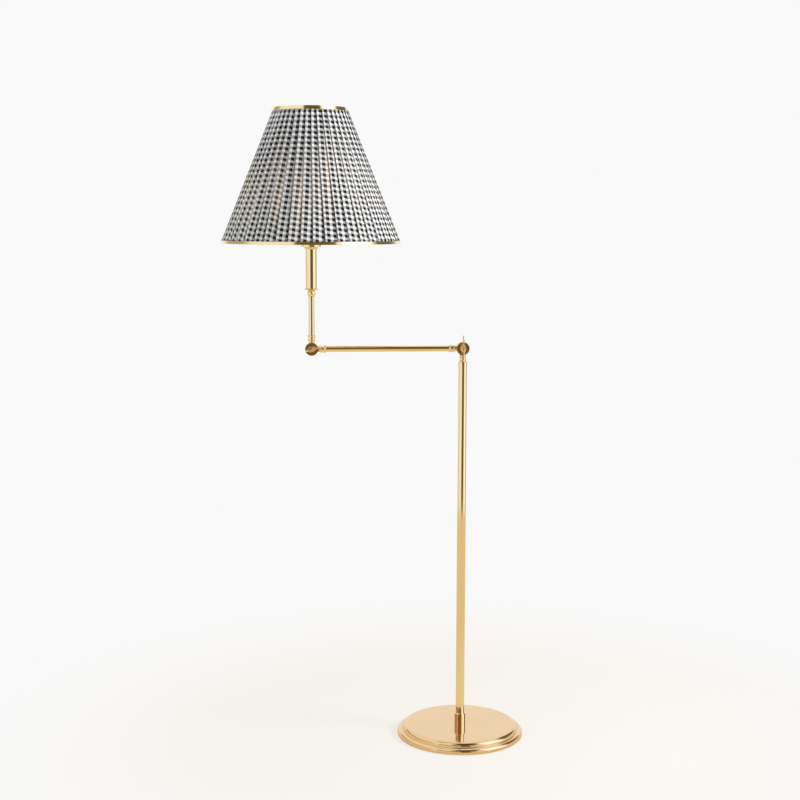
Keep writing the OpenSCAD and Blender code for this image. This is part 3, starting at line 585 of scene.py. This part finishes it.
nut_grid, nut_closed, nut_round = turned(eased(
    (nut_bore, fitter_top), (nut_radius, fitter_top), (nut_radius, nut_top), (nut_bore, nut_top),
    size=0.5, closed=True), lower, closed=True, around=240)
about = nut_grid - lower
grip = np.clip(np.hypot(about[..., 0], about[..., 1]) - 20, 0, 1) * 0.02
hollows = 0.5 - 0.5 * np.cos(nut_ribs * 2 * np.pi * np.arange(240) / 240)
nut_grid[..., :2] = lower[:2] + about[..., :2] * (1 - grip * hollows)[..., None]
fitted(piece("ribbed_ring_nut", (nut_grid, nut_closed, nut_round)), "head", "holder_white",
       moulding, "shade_ring_nut")


# ---- Bulb ----
# A blown opal glass globe cemented in a rolled aluminium screw cap, which screws into the
# lampholder. It is lit dimly.
tin = finish("rolled_aluminium")
wipe = tin.noise(0.003, detail=3)
tin.surface(wipe, 0.00002, Metallic=1.0, Roughness=tin.steps(wipe, 0.3, 0.7, 0.2, 0.34),
            Base_Color=tin.between(wipe, (0.68, 0.68, 0.69, 1), (0.80, 0.80, 0.79, 1)))
cap_thread, cap_pitch, cap_end = 245.8, 3.6, 267.6
roll = cap_thread + np.linspace(0, 19, 39)
rolled = np.stack([12.85 + 0.35 * np.cos(2 * np.pi * (roll - cap_thread) / cap_pitch), roll], 1)
cap = piece("screw_bulb_cap", turned(eased(
    (0, 241.6), (5, 241.6), (11.2, 245.6), rolled, (13.2, cap_end), (12.6, cap_end),
    (12.4, 246.4), (0, 246.4), size=0.2), lower))
fitted(cap, "head", "bulb_cap_metal", tin, "bulb_cap")

opal = finish("opal_glass")
milk = opal.noise(0.02, detail=2)
opal.surface(milk, 0.00001, Roughness=opal.steps(milk, 0.3, 0.7, 0.16, 0.24), Coat_Weight=0.3,
             Base_Color=opal.between(milk, (0.88, 0.86, 0.82, 1), (0.93, 0.91, 0.88, 1)),
             Emission_Color=opal.between(milk, (1.0, 0.80, 0.58, 1), (1.0, 0.86, 0.66, 1)),
             Emission_Strength=0.45)
globe, globe_z, waist, glass = 30, 319.6, 40, 1
waist_out = 53.5
waist_z = globe_z - ((globe + waist) ** 2 - waist_out**2) ** 0.5
lean = np.degrees(np.arctan2(globe_z - waist_z, waist_out))
bulb = piece("opal_bulb", turned(eased(
    arc(0, globe_z, globe, 90, -lean, 33), arc(waist_out, waist_z, waist, 180 - lean, 180, 13),
    (waist_out - waist, cap_end), (waist_out - waist - glass, cap_end),
    arc(waist_out, waist_z, waist + glass, 180, 180 - lean, 13),
    arc(0, globe_z, globe - glass, -lean, 90, 33), size=0.1), lower))
fitted(bulb, "head", "opal_glass", opal, "bulb_glass")


# ---- Shade frame ----
# Steel wire with white enamel: a fitter ring with three spokes to the bottom ring, twelve straight
# ribs and the top ring, brazed together.
enamel = finish("white_enamelled_wire")
drips = enamel.noise(0.006, detail=3)
enamel.surface(drips, 0.00006, Roughness=enamel.steps(drips, 0.3, 0.7, 0.24, 0.38),
               Base_Color=enamel.between(drips, (0.78, 0.75, 0.67, 1), (0.86, 0.84, 0.77, 1)))


def wire(start, end, radius, around=20):
    """A straight wire between two points, with rounded ends."""
    start, end = np.asarray(start, float), np.asarray(end, float)
    length = np.linalg.norm(end - start)
    return turned(eased((0, 0), (radius, 0), (radius, length), (0, length), size=0.4 * radius),
                  start, end - start, around=around)


def round_about(angle, radius, height):
    """A point at an angle about the upright's axis."""
    return lower + (radius * np.cos(angle), radius * np.sin(angle), height)


ring_wire, rib_wire, bottom_ring_z = 1.5, 1.0, 230.7
spokes = [wire(round_about(a, 22, bottom_ring_z), round_about(a, 184.5, bottom_ring_z), ring_wire)
          for a in np.radians((90, 210, 330))]
fitter = piece("shade_fitter_spider", turned(eased(
    (nut_bore, fitter_foot), (nut_radius, fitter_foot), (nut_radius, fitter_top),
    (nut_bore, fitter_top), size=0.5, closed=True), lower, closed=True), *spokes)
fitted(fitter, "head", "frame_enamel", enamel, "shade_fitter")
for name, node, radius, height in (
        ("bottom_wire_ring", "frame_bottom_ring", 185.71, bottom_ring_z),
        ("top_wire_ring", "frame_top_ring", 73.55, 508.4)):
    section = arc(radius, height, ring_wire, 0, 345, 24)
    fitted(piece(name, turned(section, lower, closed=True, around=180)),
           "head", "frame_enamel", enamel, node)
ribs = [wire(round_about(a, 185.45, 232.67), round_about(a, 74.89, 506.43), rib_wire)
        for a in np.radians(15 + 30 * np.arange(12))]
fitted(piece("rib_wires", *ribs), "head", "frame_enamel", enamel, "frame_ribs")


# ---- Lining ----
# A cone of cream cotton stretched over the frame inside the cover and glued to the rings. Cut flat
# it is a ring sector 134.8 degrees wide, which fits a piece of 940 by 431 mm.
shade_foot, taper, lining_inset, cloth_thickness = 193.0, 114.5, 4.13, 0.0002
along_slant = np.linspace(0, 1, 25)[:, None]
around_shade = 2 * np.pi * np.arange(240)[None] / 240
lining_radius = (shade_foot - taper * along_slant - lining_inset
                 + 0.1 * np.cos(12 * around_shade))
lining_height = 228.0 + 283.1 * along_slant + 0 * around_shade
lining_grid = lower + np.stack([lining_radius * np.cos(around_shade),
                                lining_radius * np.sin(around_shade), lining_height], -1)
lining_marks = np.stack(np.broadcast_arrays(
    np.linspace(0, 60, 241)[None], 24 * along_slant), -1)
lining = piece("cotton_lining", (lining_grid, False, True), marks=lining_marks)
wall = lining.modifiers.new("cloth", "SOLIDIFY")
wall.thickness, wall.offset = cloth_thickness, 0
cream = finish("cream_lining_cotton")


def woven(across, along, threads):
    """Threads of a plain weave in 0 to 1: half the product of the sines of the place across and the
    place along, plus a half, with a fixed number of threads in each unit of the cloth's marks."""
    return (across * (np.pi * threads)).sine() * (along * (np.pi * threads)).sine() * 0.5 + 0.5


def cloth_place(look):
    """The two marks of a cloth: its place across and along."""
    marked = look.node("ShaderNodeUVMap", {"uv_map": "cloth"})
    spot = look.node("ShaderNodeSeparateXYZ", {}, {0: marked})
    return spot, Value(look, spot.socket.node.outputs[1])


threads = 24
across, along = cloth_place(cream)
cream_weave = woven(across, along, threads)
slub = cream.noise(0.02, detail=3)
cream.surface(cream_weave, 0.00008, Roughness=0.9, Sheen_Weight=0.15,
              Base_Color=cream.between(slub, (0.84, 0.80, 0.71, 1), (0.90, 0.87, 0.79, 1)))
fitted(lining, "head", "lining_cloth", cream, "shade_lining")


# ---- Pleated cover ----
# Black and white quarter-inch gingham in 47 knife pleats, sewn to the rings. Each pleat takes two
# repeats of the checks, 25.9 mm of cloth, and what the narrower top can't show lies hidden under
# the next fold. Cut flat, the strip is 1217 mm wide and 306 mm long.
chance = np.random.default_rng(7)
pleats, repeat_across, repeat_along = 47, 12.95, 11.9
cut = 2 * repeat_across
rows = np.linspace(0, 1, 39)
crest = shade_foot - taper * rows
slant = 305.7 * rows
wide = chance.uniform(0.93, 1.07, pleats)
wide /= wide.mean()
fold = np.cumsum(wide) - wide
pitch = 2 * np.pi * crest / pleats
leaf = pitch[:, None] * wide
hidden = np.maximum((cut - leaf) / 2, 0.15)
# Each point of a pleat: its share of the visible leaf and of the hidden part, mm round the nose,
# its depth behind the crest as a share of the leaf's depth and in mm, and how far the cloth has
# come back under the fold.
pleat = np.array([
    [0.00, 0.0, 0.00, 0.00, 0.32, 0.0], [0.00, 0.0, 0.07, 0.00, 0.11, 0.0],
    [0.00, 0.0, 0.33, 0.00, 0.01, 0.0], [0.14, 0.0, 0.00, 0.02, 0.00, 0.0],
    [0.34, 0.0, 0.00, 0.10, 0.00, 0.0], [0.56, 0.0, 0.00, 0.27, 0.00, 0.0],
    [0.78, 0.0, 0.00, 0.58, 0.00, 0.0], [0.90, 0.0, 0.00, 0.79, 0.00, 0.0],
    [0.98, 0.0, 0.00, 0.92, 0.00, 0.0], [1.00, 0.4, 0.00, 0.97, 0.00, 0.0],
    [1.00, 0.9, 0.00, 1.00, 0.00, 0.0], [1.00, 1.0, 0.12, 0.98, -0.14, 0.1],
    [1.00, 0.9, 0.00, 0.92, -0.28, 0.2], [1.00, 0.4, 0.08, 0.60, -0.05, 0.6],
    [1.00, 0.0, 0.32, 0.26, 0.15, 0.95], [1.00, 0.0, 0.09, 0.14, 0.15, 1.0]])
on_leaf, under, nose, share, extra, back = pleat.T
middle_angle = 2 * np.pi * (fold + wide / 2) / pleats
far_side = (0.45 + 0.65 * np.cos(middle_angle + 0.9)).clip(0.05, 1)
depth = chance.uniform(2.6, 3.35, pleats) * (0.62 + 0.38 * far_side)
drift = chance.normal(0, 0.022, (3, pleats)).clip(-0.05, 0.05)
bow = np.stack([np.ones_like(rows), np.sin(np.pi * rows), np.sin(2 * np.pi * rows)])
shift = (bow[:, :, None] * drift[:, None]).sum(0) * pitch[:, None]
passed = np.clip(on_leaf + under, 0, 1)
across_leaf = on_leaf * leaf[..., None] + under * hidden[..., None] + nose
arc_place = (fold[:, None] * pitch[:, None, None] + shift[..., None] * (1 - passed)
             + np.roll(shift, -1, 1)[..., None] * passed + across_leaf)
deepest = 3.4
radius = crest[:, None, None] - np.minimum(share * depth[:, None] + extra, deepest)
turn = arc_place / crest[:, None, None] - np.pi / 2
cover_grid = lower + np.stack([
    radius * np.cos(turn), radius * np.sin(turn),
    np.broadcast_to(227.9 + 283.3 * rows[:, None, None], radius.shape)], -1)
cover_grid = cover_grid.reshape(len(rows), -1, 3)
# The cloth's own place: across the leaf, with its rows a little askew, then back under the fold
wander = 1.1 * np.sin(2 * np.pi * np.arange(pleats) / pleats * 3 + 1)
phase = chance.uniform(-1.2, 1.2, pleats) + wander
askew = chance.uniform(0.04, 0.2, pleats) + 0.14 * far_side
turned_in = (leaf + hidden)[..., None]
strip = np.where(back > 0, turned_in + back * (cut - turned_in), across_leaf)
cloth_across = (np.arange(pleats)[:, None] * cut + phase[:, None] * (1 - back)
                + np.roll(phase, -1)[:, None] * back + strip + 3.95).reshape(len(rows), -1)
cloth_along = slant[:, None, None] + 2.2 + askew[:, None] * strip * (1 - back)
cloth_along = cloth_along.reshape(len(rows), -1)
cloth_across = np.hstack([cloth_across, cloth_across[:, :1] + pleats * cut])
cloth_along = np.hstack([cloth_along, cloth_along[:, :1]])
cover = piece("pleated_gingham_cover", (cover_grid, False, True),
              marks=np.stack([cloth_across / repeat_across, cloth_along / repeat_along], -1))
# A painted glow: where a leaf dips towards the fold beside it, emission on the cloth stands in for
# the bulb's light coming through
painted_bulb_glow = cover.data.attributes.new("painted_bulb_glow", "FLOAT", "POINT")
thin = np.array([0, 0, 0, 0.05, 0.4, 0.8, 1, 1, 0.8, 0.4, 0, 0, 0, 0, 0, 0])
glow = (np.exp(-((rows[:, None] - chance.uniform(0.3, 0.52, pleats)) / 0.17) ** 2)[..., None] * thin
        * (chance.uniform(0, 1, pleats) ** 1.3 * (0.35 + 0.65 * far_side))[:, None])
painted_bulb_glow.data.foreach_set("value", np.ascontiguousarray(glow.reshape(-1), np.float32))
wall = cover.modifiers.new("cloth", "SOLIDIFY")
wall.thickness, wall.offset = cloth_thickness, -1

# Painted shade deep in the folds, most on the side away from the key light
painted_crease_shade = cover.data.attributes.new("painted_crease_shade", "FLOAT", "POINT")
deep_in = np.array([0.2, 0.02, 0, 0, 0, 0.06, 0.35, 0.75, 1, 1, 1, 1, 1, 1, 0.8, 0.5])
shaded = (chance.uniform(0.6, 1, pleats) * far_side)[:, None] * deep_in
painted_crease_shade.data.foreach_set("value", np.ascontiguousarray(
    np.broadcast_to(shaded, glow.shape).reshape(-1), np.float32))

gingham = finish("pleated_gingham")
across, along = cloth_place(gingham)


def stripe(place):
    """The dyed part of a repeat, a little over half of it: 1 where the fraction of the place is
    more than about 0.23 away from a half."""
    return gingham.steps((place % 1 - 0.5).absolute(), 0.21, 0.25)


warp, weft = stripe(across), stripe(along)
weave = woven(across, along, threads)
one_way = warp + weft - 2 * warp * weft
dyed = warp * weft + one_way * (0.31 + 0.4 * weave)
uneven = gingham.noise(0.012, detail=4)
# Painted glow of the lit bulb through the cloth, given as emission
painted_glow = gingham.node("ShaderNodeAttribute", {"attribute_name": "painted_bulb_glow"}, out="Fac")
# Painted shade in the folds, read from the attribute set on the cover
painted_shade_share = gingham.node("ShaderNodeAttribute", {"attribute_name": "painted_crease_shade"}, out="Fac")
checks = gingham.between(
    dyed, gingham.between(uneven, (0.86, 0.85, 0.84, 1), (0.93, 0.925, 0.915, 1)),
    gingham.between(uneven, (0.006, 0.006, 0.007, 1), (0.014, 0.013, 0.014, 1)))
gingham.surface(
    weave + 0.3 * uneven, 0.0001, Roughness=0.9, Specular_IOR_Level=0.15,
    Base_Color=gingham.between(0.85 * painted_shade_share, checks, (0.015, 0.013, 0.012, 1)),
    Emission_Color=gingham.between(painted_glow * (1 - 0.45 * dyed), (0, 0, 0, 1), (0.27, 0.15, 0.05, 1)),
    Emission_Strength=1.0)
fitted(cover, "head", "gingham_cotton", gingham, "shade_cover")


# ---- Trims ----
# Rolled brass strips round the shade's two edges, with a lip turned in under each edge that hides
# the stitches.
trim_brass = brass("polished_brass_trim", (0.90, 0.75, 0.48), lower / 1000, rough=0.09)
bottom_lip, bottom_edge, bottom_band = 188.3, 226.95, 233.3
bottom_trim = piece("bottom_trim_strip", turned(eased(
    (bottom_lip, bottom_edge), (193.9, bottom_edge), (194.0, 227.4), (191.76, bottom_band),
    (190.95, bottom_band), (193.05, 227.85), (bottom_lip, 227.8),
    size=0.2, closed=True), lower, closed=True, around=240))
fitted(bottom_trim, "head", "trim_brass", trim_brass, "bottom_trim")
top_lip, top_edge, top_band = 73.7, 512.15, 504.8
top_trim = piece("top_trim_strip", turned(eased(
    (82.0, top_band), (79.5, 511.3), (79.2, top_edge), (top_lip, top_edge), (top_lip, 511.35),
    (78.65, 511.3), (81.2, top_band), size=0.2, closed=True), lower, closed=True, around=180))
fitted(top_trim, "head", "trim_brass", trim_brass, "top_trim")


# ---- Studio ----
# A pale floor, a pale room of even light with flags that only polished metal reflects, a large
# soft key light at the front right and a weaker, larger fill at the front left.
room = Finish(bpy.data.worlds.new("studio_room"))
bpy.context.scene.world = room.owner
ray = room.node("ShaderNodeLightPath", out="Is Camera Ray")
path = ray.socket.node.outputs
seen = ray + Value(room, path["Is Transmission Ray"])
glossy = Value(room, path["Is Glossy Ray"])
x = room.node("ShaderNodeSeparateXYZ", {}, {0: room.node("ShaderNodeTexCoord", out="Generated")})
y, z = (Value(room, x.socket.node.outputs[n]) for n in (1, 2))


def bearing(far, near):
    """The angle in degrees whose tangent is far over near."""
    return far.maths("ARCTAN2", far, near) * (180 / np.pi)


def flag(value, low, high, soft):
    """1 between two angles, with soft edges."""
    rising = room.steps(value, low - soft, low + soft)
    return rising * room.steps(value, high - soft, high + soft, 1.0, 0.0)


turn_about, sideways, over_top = bearing(x, -1 * y), bearing(x, z), bearing(z, y)
height = z.maths("ARCSINE", z) * (180 / np.pi)
umber, backdrop = (0.16, 0.11, 0.035, 1), (0.947, 0.947, 0.947, 1)
level_rays = room.steps(height, 0, 6, 1.0, 0.0)
panel = flag(turn_about, 45, 86, 4) * flag(height, 9, 56, 4)
glow_side = flag(turn_about, 45, 90, 5) * level_rays
behind = flag(turn_about, -19, 36, 3) * level_rays
column = flag(turn_about, -5, 14, 2) * flag(height, 3, 40, 4)
low_dark = flag(turn_about, -50, 24, 4) * flag(height, 14, 26, 3)
low_left = flag(turn_about, -150, -60, 8) * flag(height, 13, 27, 3)
crosspiece = flag(turn_about, -25, 35, 2) * flag(height, 34, 54, 4)
overhead = flag(sideways, -9, 21, 2) * flag(over_top, 97, 130, 4)
right_dark = flag(turn_about, 94, 140, 4) * flag(height, 14, 48, 4)
right_edge = flag(turn_about, 94, 140, 4) * level_rays
left_edge = flag(turn_about, -140, -86, 4) * level_rays
mirror = room.between(panel, (1.0, 1.0, 0.98, 1), (1.6, 1.8, 2.2, 1))
for share, colour in ((glow_side, (1.15, 1.2, 1.2, 1)), (behind, umber), (column, umber),
                      (low_left, (0.55, 0.40, 0.24, 1)), (low_dark, (0.24, 0.15, 0.06, 1)),
                      (crosspiece, (0.14, 0.105, 0.03, 1)), (overhead, (0.12, 0.08, 0.03, 1)),
                      (right_dark, (0.22, 0.16, 0.08, 1)), (right_edge, (0.5, 0.5, 0.46, 1)),
                      (left_edge, (0.75, 0.75, 0.74, 1))):
    mirror = room.between(share, mirror, colour)
light_level = room.between(glossy, (0.47, 0.47, 0.47, 1), mirror)
room.node("ShaderNodeOutputWorld", {}, {"Surface": room.node(
    "ShaderNodeBackground", {}, {"Color": room.between(seen, light_level, backdrop)})})

floor_radius, floor_drop, floor_corners = 2.5, 0.0002, 96
floor = bpy.data.objects.new("studio_floor", bpy.data.meshes.new("studio_floor"))
edge = floor_radius * np.exp(2j * np.pi * np.arange(floor_corners) / floor_corners)
floor.data.from_pydata(np.stack([edge.real, edge.imag, 0 * edge.real - floor_drop], 1).tolist(),
                       [], [list(range(floor_corners))])
bpy.context.scene.collection.objects.link(floor)
ground = finish("pale_floor")
away = ground.node("ShaderNodeVectorMath", {"operation": "LENGTH"}, {0: ground.place()}, "Value")
tint = ground.between(ground.steps(away, 0.35, 1.2), (0.939, 0.907, 0.86, 1), backdrop)
matt = ground.node("ShaderNodeBsdfDiffuse", {}, {"Color": tint})
ray = ground.node("ShaderNodeLightPath", out="Is Camera Ray")
path = ray.socket.node.outputs
glossy = Value(ground, path["Is Glossy Ray"])
# In reflections the floor is painted golden, a painted reflection of the light the brass throws
# down on it
painted_bounce_tint = ground.between(glossy, tint, (0.80, 0.68, 0.44, 1))
shining = ground.node("ShaderNodeEmission", {}, {"Color": painted_bounce_tint, "Strength": 1.0})
seen = ray + glossy + Value(ground, path["Is Transmission Ray"])
lit = seen * ground.steps(away, 0.4, 0.9, 0.78, 1.0)
ground.node("ShaderNodeOutputMaterial", {}, {"Surface": ground.node(
    "ShaderNodeMixShader", {}, {0: lit, 1: matt, 2: shining})})
floor.data.materials.append(ground.owner)

aim = Vector((-0.15, 0, 0.8))
for name, across_disc, energy, spot in (("soft_key", 1.1, 106, (2.67, -1.13, 2.0)),
                                        ("soft_fill", 1.6, 23, (-2.7, -1.9, 1.9))):
    lamp = bpy.data.lights.new(name, "AREA")
    lamp.shape, lamp.size, lamp.energy = "DISK", across_disc, energy
    soft_light = bpy.data.objects.new(name, lamp)
    soft_light.location = spot
    beam = aim - soft_light.location
    soft_light.rotation_euler = beam.to_track_quat("-Z", "Y").to_euler()
    soft_light.visible_glossy = False
    bpy.context.scene.collection.objects.link(soft_light)


# ---- Camera ----
# Where the photograph was taken from: 3.1 m in front of the lamp, slightly to its left and above
# the joints, looking a little down.
stand_point, focal_length = (-0.3809, -3.0992, 1.1495), 64.607
heading, dip, tilt = np.radians((-4.5, 7.188, 0.149))
ahead = np.array((-np.sin(heading) * np.cos(dip), np.cos(heading) * np.cos(dip), -np.sin(dip)))
level = np.array((np.cos(heading), np.sin(heading), 0))
above = np.cross(level, ahead)
sides = (np.cos(tilt) * level + np.sin(tilt) * above,
         -np.sin(tilt) * level + np.cos(tilt) * above, -ahead)
facing = Matrix(np.stack(sides, 1).tolist()).to_4x4()
lens = bpy.data.cameras.new("camera")
lens.sensor_width, lens.lens = 36, focal_length
camera = bpy.data.objects.new("camera", lens)
camera.matrix_world = Matrix.Translation(stand_point) @ facing
bpy.context.scene.collection.objects.link(camera)
bpy.context.scene.camera = camera
bpy.context.scene.view_settings.view_transform = "Standard"
